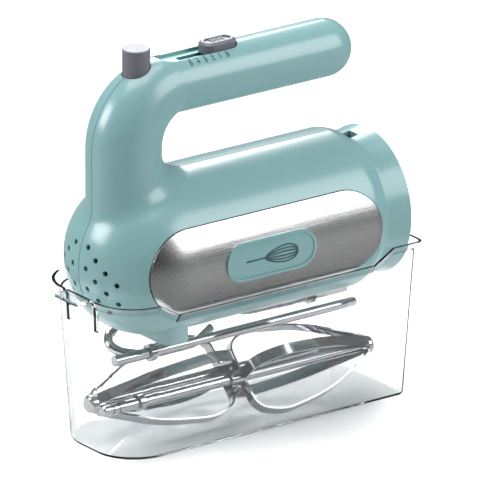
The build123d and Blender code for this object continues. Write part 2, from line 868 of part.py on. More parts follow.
# the thread is an off-centre round, twisted along the shaft; its crest faces +Y at the gears
worm_start = -360 * worm_turns / 2
with BuildSketch() as worm_outline:
    with Locations(
        (worm_depth * cos(radians(worm_start)), worm_depth * sin(radians(worm_start)))
    ):
        Circle(worm_r)
worm_face = worm_outline.sketch.faces()[0]
worm = Solid.extrude_linear_with_rotation(
    worm_face, (0, 0, 0), (0, 0, worm_length), 360 * worm_turns
)
worm_plane = Plane(origin=(worm_x, 0, body_axis_z), x_dir=(0, 1, 0), z_dir=(1, 0, 0))
with BuildPart() as motor_shaft:
    with BuildSketch(Plane.YZ.offset(shaft_front)):
        with Locations((0, body_axis_z)):
            Circle(motor_shaft_r)
    extrude(amount=shaft_rear - shaft_front)
    add(worm_plane.location * worm)
save(motor_shaft, "motor_shaft")

with BuildPart() as armature_core:
    with BuildSketch(Plane.YZ.offset(stator_x)):
        with Locations((0, body_axis_z)):
            Circle(armature_r)
            Circle(motor_shaft_r, mode=Mode.SUBTRACT)
            with PolarLocations(0.68 * armature_r, 10):
                Rectangle(0.4 * armature_r, 3, mode=Mode.SUBTRACT)
            with PolarLocations(0.94 * armature_r, 10):
                Rectangle(0.2 * armature_r, 1.2, mode=Mode.SUBTRACT)
    extrude(amount=stack_length)
save(armature_core, "armature_core")

winding_reach = 7.0
with BuildPart() as armature_windings:
    with BuildSketch(Plane.YZ.offset(stator_x)):
        with Locations((0, body_axis_z)):
            with PolarLocations(0.68 * armature_r, 10):
                Rectangle(0.4 * armature_r - 0.2, 2.8)
    extrude(amount=stack_length)
    for x, grow in ((stator_x, -winding_reach), (stator_x + stack_length, winding_reach)):
        with BuildSketch(Plane.YZ.offset(x)):
            with Locations((0, body_axis_z)):
                Circle(winding_r)
                Circle(motor_shaft_r, mode=Mode.SUBTRACT)
        extrude(amount=grow, taper=8)
save(armature_windings, "armature_windings")

with BuildPart() as commutator:
    with BuildSketch(Plane.YZ.offset(commutator_x)):
        with Locations((0, body_axis_z)):
            Circle(commutator_r)
            Circle(motor_shaft_r, mode=Mode.SUBTRACT)
            with PolarLocations(commutator_r, 20):
                Rectangle(2, 0.5, mode=Mode.SUBTRACT)
    extrude(amount=commutator_length)
save(commutator, "commutator")

fan_width = 9.0
fan_x = (gearbox_rear + stator_x - winding_reach - fan_width) / 2
with BuildPart() as cooling_fan:
    with BuildSketch(Plane.YZ.offset(fan_x)):
        with Locations((0, body_axis_z)):
            Circle(fan_r)
            Circle(motor_shaft_r, mode=Mode.SUBTRACT)
    extrude(amount=1.4)
    with BuildSketch(Plane.YZ.offset(fan_x)):
        with Locations((0, body_axis_z)):
            Circle(7)
            Circle(motor_shaft_r, mode=Mode.SUBTRACT)
            with PolarLocations(0.68 * fan_r, fan_blades):
                Rectangle(0.6 * fan_r, 1.3, rotation=18)
    extrude(amount=fan_width)
save(cooling_fan, "cooling_fan")

# ---- fixed parts of the motor ----
coil_half = 20.0
coil_low = 13.0
coil_high = 21.0
pole_half = 12.2
coil_overhang = 6.0
with BuildPart() as stator_core:
    with BuildSketch(Plane.YZ.offset(stator_x)):
        with Locations((0, body_axis_z)):
            RectangleRounded(stator_width, stator_height, stator_corner)
            Circle(armature_r + air_gap, mode=Mode.SUBTRACT)
        for dy in (-1, 1):
            for dz in (-1, 1):
                with Locations(
                    (dy * (pole_half + coil_half) / 2,
                     body_axis_z + dz * (coil_low + coil_high) / 2)
                ):
                    Rectangle(
                        coil_half - pole_half + 0.4, coil_high - coil_low + 0.4,
                        mode=Mode.SUBTRACT,
                    )
    extrude(amount=stack_length)
save(stator_core, "stator_core")

with BuildPart() as field_coils:
    for z in (body_axis_z + coil_low, body_axis_z - coil_high):
        with BuildSketch(Plane.XY.offset(z)):
            with Locations((stator_x + stack_length / 2, 0)):
                RectangleRounded(stack_length + 2 * coil_overhang, 2 * coil_half, 4)
                Rectangle(stack_length + 0.4, 2 * pole_half + 0.4, mode=Mode.SUBTRACT)
        extrude(amount=coil_high - coil_low)
save(field_coils, "field_coils")

arm_low = coil_high + 1.5
arm_high = stator_height / 2 - 0.5
with BuildPart() as motor_bridge:
    with Locations((bridge_x, 0, body_axis_z)):
        Box(
            bridge_thick, 17, 2 * arm_high,
            align=(Align.MIN, Align.CENTER, Align.CENTER),
        )
    for z in (body_axis_z + arm_low, body_axis_z - arm_high):
        with Locations((stator_x + stack_length, 0, z)):
            Box(
                bridge_x - stator_x - stack_length, 17, arm_high - arm_low,
                align=(Align.MIN, Align.CENTER, Align.MIN),
            )
    with BuildSketch(Plane.YZ.offset(bridge_x)):
        with Locations((0, body_axis_z)):
            Circle(rear_bearing_r)
    extrude(amount=bearing_width, mode=Mode.SUBTRACT)
    with BuildSketch(Plane.YZ.offset(bridge_x + bearing_width)):
        with Locations((0, body_axis_z)):
            Circle(motor_shaft_r + 1)
    extrude(amount=2, mode=Mode.SUBTRACT)
    # side lugs that carry the brush holders
    for side, _ in SIDES:
        with Locations((bridge_x + bridge_thick, side * 8, body_axis_z)):
            Box(
                bridge_thick, 14, 12,
                align=(
                    Align.MAX, Align.MIN if side > 0 else Align.MAX, Align.CENTER,
                ),
            )
save(motor_bridge, "motor_bridge")
save(ball_bearing(bridge_x, rear_bearing_r), "rear_bearing")

brush_wide = 6.0
brush_tall = 5.0
holder_wall = 1.0
holder_start = commutator_r + 2.0
holder_length = 16.0
with BuildPart() as brush_holders:
    for side, _ in SIDES:
        with Locations((brush_x, side * holder_start, body_axis_z)):
            Box(
                brush_wide + 2 * holder_wall + 0.4, holder_length,
                brush_tall + 2 * holder_wall + 0.4,
                align=(
                    Align.CENTER, Align.MIN if side > 0 else Align.MAX, Align.CENTER,
                ),
            )
            Box(
                brush_wide + 0.4, holder_length, brush_tall + 0.4,
                align=(
                    Align.CENTER, Align.MIN if side > 0 else Align.MAX, Align.CENTER,
                ),
                mode=Mode.SUBTRACT,
            )
        foot_x = brush_x + brush_wide / 2 + holder_wall + 0.2
        with Locations((foot_x, side * (holder_start + 4), body_axis_z)):
            Box(
                bridge_x - foot_x, 6, 6,
                align=(
                    Align.MIN, Align.MIN if side > 0 else Align.MAX, Align.CENTER,
                ),
            )
save(brush_holders, "brush_holders")

with BuildPart() as carbon_brushes:
    for side, _ in SIDES:
        with Locations((brush_x, side * (commutator_r + gap), body_axis_z)):
            Box(
                brush_wide, 12, brush_tall,
                align=(
                    Align.CENTER, Align.MIN if side > 0 else Align.MAX, Align.CENTER,
                ),
            )
save(carbon_brushes, "carbon_brushes")

# ---- mains side: gland in the window, clamp bar, suppression capacitor ----
cord_r = 2.9
with BuildPart() as cord_gland:
    with Locations((window_x, 0, gland_top)):
        Box(
            window_length - 0.2, window_width - 0.2, gland_height,
            align=(Align.CENTER, Align.CENTER, Align.MAX),
        )
    with BuildSketch(Plane.XY.offset(gland_top)):
        with Locations((window_x, 0)):
            Circle(cord_r - 0.3)
    extrude(amount=-gland_height, mode=Mode.SUBTRACT)
save(cord_gland, "cord_gland")

with BuildPart() as suppressor:
    with Locations((window_x - 3, 0, body_axis_z - 14)):
        Box(9, 18, 13)
    fillet(suppressor.edges(), radius=0.8)
save(suppressor, "suppressor_capacitor")

with BuildPart() as housing_screws:
    for x, z in screw_places:
        with BuildSketch(Plane.XZ.offset(-5)):
            with Locations((x, z)):
                Circle(screw_head_r)
        extrude(amount=-2)
        with BuildSketch(Plane.XZ.offset(-5)):
            with Locations((x, z)):
                Circle(screw_r - 0.02)
        extrude(amount=14)
save(housing_screws, "housing_screws")

with BuildPart() as motor_leads:
    add(lead_tube(lead_r))
save(motor_leads, "motor_leads")

# ---- open storage case: drafted tub, flared rim that dips under the panels ----
side_slope = tan(radians(case_side_draft))
end_slope = tan(radians(case_end_draft))
flare_z = case_rim_z - case_flare_height
low_flare_z = flare_z - case_dip
cut_z = low_flare_z - 3


def case_section(z, inset, flared=False):
    """Outline of the case at height z, moved in by inset, leaned out by the flare if asked."""
    side = case_half_y + min(z, flare_z) * side_slope - inset + (case_flare if flared else 0)
    reach = min(z, flare_z) * end_slope - inset + (case_end_flare if flared else 0)
    front = case_front_x - reach
    rear = case_rear_x + reach
    with BuildSketch(Plane.XY.offset(z)) as outline:
        with Locations(((front + rear) / 2, 0)):
            Rectangle(rear - front, 2 * side)
        fillet(outline.vertices().group_by(Axis.X)[0], radius=case_front_corner - inset)
        fillet(outline.vertices().group_by(Axis.X)[-1], radius=case_rear_corner - inset)
    return outline.sketch


def case_solid(floor_z, inset):
    """Solid tub up to the rim, from floor_z."""
    with BuildPart() as tub:
        add(case_section(floor_z, inset))
        add(case_section(flare_z, inset))
        loft(ruled=True)
        add(case_section(flare_z, inset))
        add(case_section(case_rim_z, inset, flared=True))
        loft(ruled=True)
    return tub.part


def rim_strip(side):
    """Long wall above the cut, as one strip whose flared rim drops and rises again."""
    low_rim = case_rim_z - case_dip
    stations = (
        (dip_start, case_rim_z),
        (dip_start + dip_ramp, low_rim),
        (dip_end - dip_ramp, low_rim),
        (dip_end, case_rim_z),
    )
    with BuildPart() as strip:
        for x, rim in stations:
            foot = rim - case_flare_height
            out_cut = case_half_y + cut_z * side_slope
            out_foot = case_half_y + foot * side_slope
            with BuildSketch(Plane.YZ.offset(x)):
                with BuildLine():
                    Polyline(
                        (side * out_cut, cut_z),
                        (side * out_foot, foot),
                        (side * (out_foot + case_flare), rim),
                        (side * (out_foot + case_flare - case_wall), rim),
                        (side * (out_foot - case_wall), foot),
                        (side * (out_cut - case_wall), cut_z),
                        close=True,
                    )
                make_face()
        loft(ruled=True)
    return strip.part


rear_rim_x = case_rear_x + flare_z * end_slope + case_end_flare
front_rim_x = case_front_x - flare_z * end_slope - case_end_flare
with BuildPart() as storage_case:
    add(case_solid(0, 0))
    fillet(storage_case.edges().group_by(Axis.Z)[0], radius=case_foot_fillet)
    add(case_solid(case_wall, case_wall), mode=Mode.SUBTRACT)
    with Locations(((dip_start + dip_end) / 2, 0, cut_z)):
        Box(
            dip_end - dip_start, 4 * case_half_y, case_rim_z,
            align=(Align.CENTER, Align.CENTER, Align.MIN), mode=Mode.SUBTRACT,
        )
    for side, _ in SIDES:
        add(rim_strip(side))
    # spring tongue between two slots, with a finger lip
    with Locations((front_rim_x, slot_y, case_rim_z), (front_rim_x, -slot_y, case_rim_z)):
        Box(
            24, slot_width, 2 * slot_depth,
            mode=Mode.SUBTRACT,
        )
    with BuildSketch(Plane.XY.offset(case_rim_z - lip_thick)):
        with Locations((front_rim_x + 1, 0)):
            Rectangle(
                rear_rim_x + front_rim_x + 1, 2 * lip_half_y, align=(Align.MAX, Align.CENTER)
            )
    extrude(amount=lip_thick)
save(storage_case, "storage_case")


def along(d, x, y, z):
    """Plane across an axis that runs along X in direction d, x from the tool's tip."""
    return Plane(origin=(x, y, z), x_dir=(0, 1, 0), z_dir=(d, 0, 0))


def ear_collar(d, end_x, y, z, word):
    """Pressed collar with two ears that the spindle's slot drives."""
    with BuildPart() as collar:
        with BuildSketch(along(d, end_x - d * (ear_from_end + 4), y, z)):
            Circle(4.6)
            Rectangle(2 * ear_reach, 1.6)
            Circle(beater_shaft_r, mode=Mode.SUBTRACT)
        extrude(amount=3.4)
    save(collar, word)


# ---- two flat-strip whisks, lying head to tail ----
cage_tip = 6.0
cage_corners = (
    (0.6, cage_tip), (0.42 * cage_length, 0.84 * cage_r),
    (0.80 * cage_length, cage_r + 1), (cage_length, 0.80 * cage_r),
)
cage_outline = (*cage_corners, *((x, -r) for x, r in reversed(cage_corners)))
cage_bends = [3, 90, 30, 10, 10, 30, 90, 3]
cage_half = (cage_r + 1 + strip_width / 2) / sqrt(2)
nut_height = 3.0
shaft_start = 0.6 + strip_thick + nut_height
whisk_z = case_wall + rest_gap + cage_half
tool_x = (case_front_x + case_rear_x) / 2

for side, word in SIDES:
    d = 1 if side < 0 else -1
    y = -side * whisk_y
    tip_x = tool_x - d * whisk_length / 2 + d * cap_bulge
    end_x = tip_x + d * (whisk_length - cap_bulge)
    with BuildPart() as blades:
        for turn in (45, 135):
            up = Vector(0, cos(radians(turn)), sin(radians(turn)))
            flat = Plane(
                origin=(tip_x, y, whisk_z), x_dir=(d, 0, 0), z_dir=Vector(d, 0, 0).cross(up)
            )
            with BuildSketch(flat):
                with BuildLine():
                    FilletPolyline(*cage_outline, radius=cage_bends, close=True)
                make_face()
                offset(amount=-strip_thick, mode=Mode.SUBTRACT)
            extrude(amount=strip_width / 2, both=True)
        with BuildSketch(along(d, tip_x + d * (cage_length - strip_thick), y, whisk_z)):
            Circle(hub_r)
        extrude(amount=hub_length)
        with BuildSketch(along(d, tip_x + d * shaft_start, y, whisk_z)):
            Circle(beater_shaft_r)
        extrude(amount=cage_length + hub_length, mode=Mode.SUBTRACT)
    save(blades, f"whisk_blades_{word}")
    with BuildPart() as whisk_shaft:
        with BuildSketch(along(d, tip_x + d * shaft_start, y, whisk_z)):
            Circle(beater_shaft_r)
        extrude(amount=whisk_length - cap_bulge - shaft_start)
        chamfer(whisk_shaft.edges().sort_by(Axis.X)[-1 if d > 0 else 0], length=0.8)
        for back in (6, 10):
            with BuildSketch(along(d, end_x - d * back, y, whisk_z)):
                Circle(beater_shaft_r + 1)
                Circle(beater_shaft_r - 0.5, mode=Mode.SUBTRACT)
            extrude(amount=1.4, mode=Mode.SUBTRACT)
    save(whisk_shaft, f"whisk_shaft_{word}")
    ear_collar(d, end_x, y, whisk_z, f"whisk_collar_{word}")
    with BuildPart() as whisk_cap:
        with BuildSketch(along(-d, tip_x + d * 0.6, y, whisk_z)):
            Circle(5)
        extrude(amount=0.6 + cap_bulge)
        fillet(whisk_cap.edges().sort_by(Axis.X)[0 if d > 0 else -1], radius=2)
        with BuildSketch(along(d, tip_x + d * (0.6 + strip_thick), y, whisk_z)):
            RegularPolygon(4.2, 6)
        extrude(amount=nut_height)
    save(whisk_cap, f"whisk_cap_{word}")

# ---- two wire dough hooks, lying above the whisks ----
hook_rise = hook_half_width * sin(radians(hook_tilt))
hook_z = whisk_z + cage_half + rest_gap + hook_rise + hook_wire_r
for side, word in SIDES:
    d = -1 if side < 0 else 1
    y = side * hook_y
    tip_x = tool_x - d * hook_length / 2
    end_x = tip_x + d * hook_length
    w = hook_half_width
    # distance from the tip, and how far out from the shaft towards the case wall
    path_points = (
        (hook_length, 0), (hook_loop + 14, 0), (hook_loop - 12, w), (24, w), (0, 0),
        (24, -w), (hook_loop - 30, -w), (hook_loop - 14, -0.4 * w),
    )
    world = [
        (tip_x + d * (s + hook_wire_r), y + side * v * cos(radians(hook_tilt)),
         hook_z + v * sin(radians(hook_tilt)))
        for s, v in path_points
    ]
    world[0] = (end_x, y, hook_z)
    with BuildPart() as hook_rod:
        with BuildLine() as wire:
            FilletPolyline(*world, radius=[30, 24, 16, 9, 16, 10])
        path = wire.wires()[0]
        with BuildSketch(Plane(origin=path @ 0, z_dir=path % 0)):
            Circle(hook_wire_r)
        sweep(path=path)
    save(hook_rod, f"hook_rod_{word}")
    with BuildPart() as sleeve:
        with BuildSketch(along(-d, end_x, y, hook_z)):
            Circle(beater_shaft_r)
        extrude(amount=sleeve_length)
        with BuildSketch(along(-d, end_x - d * ear_from_end, y, hook_z)):
            Circle(4.6)
            Rectangle(2 * ear_reach, 1.6)
        extrude(amount=3.4)
        with BuildSketch(along(-d, end_x, y, hook_z)):
            Circle(hook_wire_r)
        extrude(amount=sleeve_length, mode=Mode.SUBTRACT)
    save(sleeve, f"hook_sleeve_{word}")
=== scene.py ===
"""Looks of a hand mixer parked in its clear storage case.

The mixer, its drive and its tools come from the frame. This script dresses every one of them
and adds the moulded, printed and drawn details that sit on them.
"""

import logging
from collections.abc import Iterable
from dataclasses import dataclass, field
from enum import Enum
from math import cos, pi, radians, sin

import bmesh
import bpy
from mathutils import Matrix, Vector


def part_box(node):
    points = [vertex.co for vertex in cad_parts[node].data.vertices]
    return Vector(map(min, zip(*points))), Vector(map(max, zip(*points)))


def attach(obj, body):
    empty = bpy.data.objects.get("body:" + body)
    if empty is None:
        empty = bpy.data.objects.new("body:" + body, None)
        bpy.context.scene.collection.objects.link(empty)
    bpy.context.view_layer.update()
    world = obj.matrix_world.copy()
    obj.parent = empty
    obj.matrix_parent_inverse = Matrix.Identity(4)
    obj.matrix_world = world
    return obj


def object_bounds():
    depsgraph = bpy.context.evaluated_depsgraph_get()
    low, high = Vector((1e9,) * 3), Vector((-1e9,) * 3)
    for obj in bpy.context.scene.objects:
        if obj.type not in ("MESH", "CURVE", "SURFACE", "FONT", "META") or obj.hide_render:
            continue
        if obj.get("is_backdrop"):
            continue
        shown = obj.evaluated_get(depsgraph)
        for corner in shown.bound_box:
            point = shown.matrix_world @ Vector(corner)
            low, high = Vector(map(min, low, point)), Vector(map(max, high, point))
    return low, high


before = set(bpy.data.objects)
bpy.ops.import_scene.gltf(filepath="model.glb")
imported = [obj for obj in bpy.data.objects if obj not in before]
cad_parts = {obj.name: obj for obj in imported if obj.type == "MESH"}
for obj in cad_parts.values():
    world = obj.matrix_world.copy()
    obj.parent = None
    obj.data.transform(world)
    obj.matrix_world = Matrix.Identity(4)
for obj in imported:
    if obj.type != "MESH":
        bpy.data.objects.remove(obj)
LOG = logging.getLogger("hand_mixer")
MM = 0.001
AXIS_Z = sum(corner.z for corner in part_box("motor_shaft")) / 2
HANDLE_R = 16.0 * MM
HANDLE_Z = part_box("housing_left")[1].z - HANDLE_R


# ---------------------------------------------------------------- node trees


class Sheet:
    """Short words for adding and joining the nodes of one shader tree."""

    def __init__(self, tree: bpy.types.NodeTree) -> None:
        """Keep the tree.

        Args:
            tree: node tree to write in.
        """
        self.tree = tree

    def add(self, kind: str, inputs: dict | None = None, **settings: object) -> bpy.types.Node:
        """Add one node.

        Args:
            kind: node type without its "ShaderNode" front.
            inputs: socket name or number to a value or an output socket.
            settings: properties of the node itself.

        Returns:
            The new node.
        """
        node = self.tree.nodes.new(kind if kind.startswith("Node") else f"ShaderNode{kind}")
        for name, value in settings.items():
            setattr(node, name, value)
        for name, value in (inputs or {}).items():
            if isinstance(value, bpy.types.NodeSocket):
                self.tree.links.new(value, node.inputs[name])
            else:
                node.inputs[name].default_value = value
        return node

    def group(self, effect: bpy.types.NodeTree, **inputs: object) -> bpy.types.Node:
        """Place a shared effect.

        Args:
            effect: node group to place.
            inputs: values or sockets by the group's input names, with _ for a space.

        Returns:
            The group node.
        """
        node = self.tree.nodes.new("ShaderNodeGroup")
        node.node_tree = effect
        for name, value in inputs.items():
            socket = node.inputs[name.replace("_", " ")]
            if isinstance(value, bpy.types.NodeSocket):
                self.tree.links.new(value, socket)
            else:
                socket.default_value = value
        return node

    def math(self, operation: str, *values: object) -> bpy.types.NodeSocket:
        """Join values by one sum and give its output."""
        return self.add("Math", dict(enumerate(values)), operation=operation).outputs[0]

    def span(self, value: bpy.types.NodeSocket, low: float, high: float) -> bpy.types.NodeSocket:
        """Stretch a mask of 0 to 1 to run from low to high."""
        return self.add("MapRange", {"Value": value, "To Min": low, "To Max": high}).outputs[0]

    def mix(self, mask: object, dark: object, light: object) -> bpy.types.NodeSocket:
        """Mix two colours by a mask.

        Args:
            mask: value or socket, 0 for the dark colour and 1 for the light one.
            dark: colour or socket.
            light: colour or socket.

        Returns:
            The mixed colour's socket.
        """
        node = self.add("Mix", data_type="RGBA")
        for number, value in ((0, mask), (6, dark), (7, light)):
            if isinstance(value, bpy.types.NodeSocket):
                self.tree.links.new(value, node.inputs[number])
            else:
                node.inputs[number].default_value = value
        return node.outputs[2]


def new_effect(name: str, inputs: dict[str, float | tuple], outputs: dict[str, str]) -> tuple:
    """Start a shared shader effect with its sockets.

    Args:
        name: name of the node group.
        inputs: input name to its default, a number or a vector.
        outputs: output name to its socket type.

    Returns:
        The group, its sheet, its input node and its output node.
    """
    tree = bpy.data.node_groups.new(name, "ShaderNodeTree")
    for label, default in inputs.items():
        kind = "NodeSocketFloat" if isinstance(default, (int, float)) else "NodeSocketVector"
        tree.interface.new_socket(label, in_out="INPUT", socket_type=kind).default_value = default
    for label, kind in outputs.items():
        tree.interface.new_socket(label, in_out="OUTPUT", socket_type=kind)
    sheet = Sheet(tree)
    return tree, sheet, sheet.add("NodeGroupInput"), sheet.add("NodeGroupOutput")


class Effects:
    """Shared surface effects, each built once."""

    def __init__(self) -> None:
        """Build every effect."""
        self.moulded = self._moulded()
        self.hairline = self._hairline()
        self.rubbed = self._rubbed()
        self.layered = self._layered()

    def _moulded(self) -> bpy.types.NodeTree:
        """Slow colour drift and fine orange peel of moulded plastic.

        Returns:
            The node group.
        """
        tree, sheet, inside, out = new_effect(
            "moulded_skin",
            {"Peel Scale": 900.0, "Drift Scale": 25.0},
            {"Height": "NodeSocketFloat", "Drift": "NodeSocketFloat"},
        )
        place = sheet.add("TexCoord").outputs["Object"]
        peel = sheet.add("TexNoise", {"Vector": place, "Scale": inside.outputs["Peel Scale"],
                                      "Detail": 3.0, "Roughness": 0.55})
        drift = sheet.add("TexNoise", {"Vector": place, "Scale": inside.outputs["Drift Scale"],
                                       "Detail": 4.0, "Roughness": 0.6})
        tree.links.new(peel.outputs["Fac"], out.inputs["Height"])
        tree.links.new(drift.outputs["Fac"], out.inputs["Drift"])
        return tree

    def _hairline(self) -> bpy.types.NodeTree:
        """Long parallel lines of a brushed or turned face.

        Returns:
            The node group.
        """
        tree, sheet, inside, out = new_effect(
            "hairlines",
            {"Lines": (20.0, 2600.0, 2600.0), "Clouds": (6.0, 90.0, 90.0)},
            {"Height": "NodeSocketFloat", "Clouding": "NodeSocketFloat"},
        )
        place = sheet.add("TexCoord").outputs["Object"]
        fine = sheet.add("Mapping", {"Vector": place, "Scale": inside.outputs["Lines"]})
        wide = sheet.add("Mapping", {"Vector": place, "Scale": inside.outputs["Clouds"]})
        lines = sheet.add("TexNoise", {"Vector": fine.outputs[0], "Scale": 1.0, "Detail": 4.0,
                                       "Roughness": 0.7})
        clouds = sheet.add("TexNoise", {"Vector": wide.outputs[0], "Scale": 1.0, "Detail": 3.0})
        tree.links.new(lines.outputs["Fac"], out.inputs["Height"])
        tree.links.new(clouds.outputs["Fac"], out.inputs["Clouding"])
        return tree

    def _rubbed(self) -> bpy.types.NodeTree:
        """Thin handling scratches and soft smudges.

        Returns:
            The node group.
        """
        tree, sheet, inside, out = new_effect(
            "rubbed_marks",
            {"Scale": 60.0},
            {"Scratches": "NodeSocketFloat", "Smudges": "NodeSocketFloat"},
        )
        place = sheet.add("TexCoord").outputs["Object"]
        cells = sheet.add("TexVoronoi", {"Vector": place, "Scale": inside.outputs["Scale"],
                                         "Randomness": 1.0}, feature="DISTANCE_TO_EDGE")
        thin = sheet.add("MapRange", {"Value": cells.outputs["Distance"], "From Min": 0.0,
                                      "From Max": 0.012, "To Min": 1.0, "To Max": 0.0})
        patches = sheet.add("TexNoise", {"Vector": place, "Scale": 45.0, "Detail": 2.0})
        part = sheet.add("MapRange", {"Value": patches.outputs["Fac"], "From Min": 0.55,
                                      "From Max": 0.7})
        scratches = sheet.math("MULTIPLY", thin.outputs[0], part.outputs[0])
        smudge = sheet.add("TexNoise", {"Vector": place, "Scale": 28.0, "Detail": 5.0,
                                        "Roughness": 0.65, "Distortion": 0.6})
        soft = sheet.add("MapRange", {"Value": smudge.outputs["Fac"], "From Min": 0.45,
                                      "From Max": 0.75})
        tree.links.new(scratches, out.inputs["Scratches"])
        tree.links.new(soft.outputs[0], out.inputs["Smudges"])
        return tree

    def _layered(self) -> bpy.types.NodeTree:
        """Even bands across one direction: stacked sheets or wound wire.

        Returns:
            The node group.
        """
        tree, sheet, inside, out = new_effect(
            "layered_bands",
            {"Across": (1.0, 0.0, 0.0), "Pitch": 0.0008, "Wander": 0.2},
            {"Height": "NodeSocketFloat", "Band": "NodeSocketFloat"},
        )
        place = sheet.add("TexCoord").outputs["Object"]
        run = sheet.add("VectorMath", {0: place, 1: inside.outputs["Across"]},
                        operation="DOT_PRODUCT")
        noise = sheet.add("TexNoise", {"Vector": place, "Scale": 160.0, "Detail": 2.0})
        count = sheet.math("DIVIDE", run.outputs["Value"], inside.outputs["Pitch"])
        wander = sheet.math("MULTIPLY", noise.outputs["Fac"], inside.outputs["Wander"])
        turns = sheet.math("MULTIPLY", sheet.math("ADD", count, wander), 2 * pi)
        wave = sheet.math("SINE", turns)
        band = sheet.add("MapRange", {"Value": wave, "From Min": -1.0, "From Max": 1.0})
        rounded = sheet.math("SQRT", band.outputs[0])
        tree.links.new(rounded, out.inputs["Height"])
        tree.links.new(band.outputs[0], out.inputs["Band"])
        return tree


EFFECTS = Effects()


def tone(colour: tuple, factor: float) -> tuple:
    """Give a colour made lighter or darker, with full alpha."""
    return (*(min(1.0, c * factor) for c in colour[:3]), 1.0)


def start_material(name: str) -> tuple[bpy.types.Material, Sheet, bpy.types.Node]:
    """Start a material with only its Principled shader and output.

    Args:
        name: name of the material.

    Returns:
        The material, its sheet and the Principled shader.
    """
    material = bpy.data.materials.new(name)
    material.use_nodes = True
    material.node_tree.nodes.clear()
    sheet = Sheet(material.node_tree)
    shader = sheet.add("BsdfPrincipled")
    sheet.add("OutputMaterial", {"Surface": shader.outputs[0]})
    return material, sheet, shader


# ------------------------------------------------------------------ finishes


@dataclass(frozen=True)
class Moulded:
    """Moulded plastic or rubber, from satin to high gloss."""

    name: str
    colour: tuple
    roughness: float = 0.3
    coat: float = 0.0
    drift: float = 0.05
    peel_depth: float = 0.02
    peel_scale: float = 900.0
    smudge: float = 0.06

    def material(self) -> bpy.types.Material:
        """Build the finish's material.

        Returns:
            The new material.
        """
        material, sheet, shader = start_material(self.name)
        skin = sheet.group(EFFECTS.moulded, Peel_Scale=self.peel_scale)
        marks = sheet.group(EFFECTS.rubbed)
        colour = sheet.mix(skin.outputs["Drift"], tone(self.colour, 1 - self.drift),
                           tone(self.colour, 1 + self.drift))
        colour = sheet.mix(sheet.span(marks.outputs["Scratches"], 0.0, 0.03), colour,
                           tone(self.colour, 1.25))
        rough = sheet.span(marks.outputs["Smudges"], self.roughness - self.smudge / 2,
                           self.roughness + self.smudge)
        bump = sheet.add("Bump", {"Strength": self.peel_depth, "Distance": 0.001,
                                  "Height": skin.outputs["Height"]})
        sheet.tree.links.new(colour, shader.inputs["Base Color"])
        sheet.tree.links.new(rough, shader.inputs["Roughness"])
        sheet.tree.links.new(bump.outputs[0], shader.inputs["Normal"])
        shader.inputs["Coat Weight"].default_value = self.coat
        shader.inputs["Coat Roughness"].default_value = 0.16
        shader.inputs["IOR"].default_value = 1.5
        return material


@dataclass(frozen=True)
class Metal:
    """Brushed, turned, cast or polished metal."""

    name: str
    colour: tuple
    roughness: float = 0.3
    spread: float = 0.1
    lines: tuple = (20.0, 2600.0, 2600.0)
    clouds: tuple = (6.0, 90.0, 90.0)
    depth: float = 0.1
    contrast: float = 0.12

    def material(self) -> bpy.types.Material:
        """Build the finish's material.

        Returns:
            The new material.
        """
        material, sheet, shader = start_material(self.name)
        brush = sheet.group(EFFECTS.hairline, Lines=self.lines, Clouds=self.clouds)
        marks = sheet.group(EFFECTS.rubbed)
        blend = sheet.math("ADD", sheet.math("MULTIPLY", brush.outputs["Height"], 0.6),
                           sheet.math("MULTIPLY", brush.outputs["Clouding"], 0.4))
        colour = sheet.mix(blend, tone(self.colour, 1 - self.contrast),
                           tone(self.colour, 1 + self.contrast))
        rough = sheet.span(brush.outputs["Height"], self.roughness - self.spread,
                           self.roughness + self.spread)
        rough = sheet.math("ADD", rough, sheet.math("MULTIPLY", marks.outputs["Smudges"], 0.04))
        bump = sheet.add("Bump", {"Strength": self.depth, "Distance": 0.0005,
                                  "Height": brush.outputs["Height"]})
        sheet.tree.links.new(colour, shader.inputs["Base Color"])
        sheet.tree.links.new(rough, shader.inputs["Roughness"])
        sheet.tree.links.new(bump.outputs[0], shader.inputs["Normal"])
        shader.inputs["Metallic"].default_value = 1.0
        return material


@dataclass(frozen=True)
class Layered:
    """Stacked iron sheets or wound enamelled wire."""

    name: str
    colour: tuple
    across: tuple
    pitch: float
    metallic: float = 1.0
    roughness: float = 0.35
    wander: float = 0.2
    depth: float = 0.5

    def material(self) -> bpy.types.Material:
        """Build the finish's material.

        Returns:
            The new material.
        """
        material, sheet, shader = start_material(self.name)
        bands = sheet.group(EFFECTS.layered, Across=self.across, Pitch=self.pitch,
                            Wander=self.wander)
        colour = sheet.mix(bands.outputs["Band"], tone(self.colour, 0.45), tone(self.colour, 1.1))
        rough = sheet.span(bands.outputs["Band"], self.roughness + 0.2, self.roughness)
        bump = sheet.add("Bump", {"Strength": self.depth, "Distance": 0.0004,
                                  "Height": bands.outputs["Height"]})
        sheet.tree.links.new(colour, shader.inputs["Base Color"])
        sheet.tree.links.new(rough, shader.inputs["Roughness"])
        sheet.tree.links.new(bump.outputs[0], shader.inputs["Normal"])
        shader.inputs["Metallic"].default_value = self.metallic
        return material


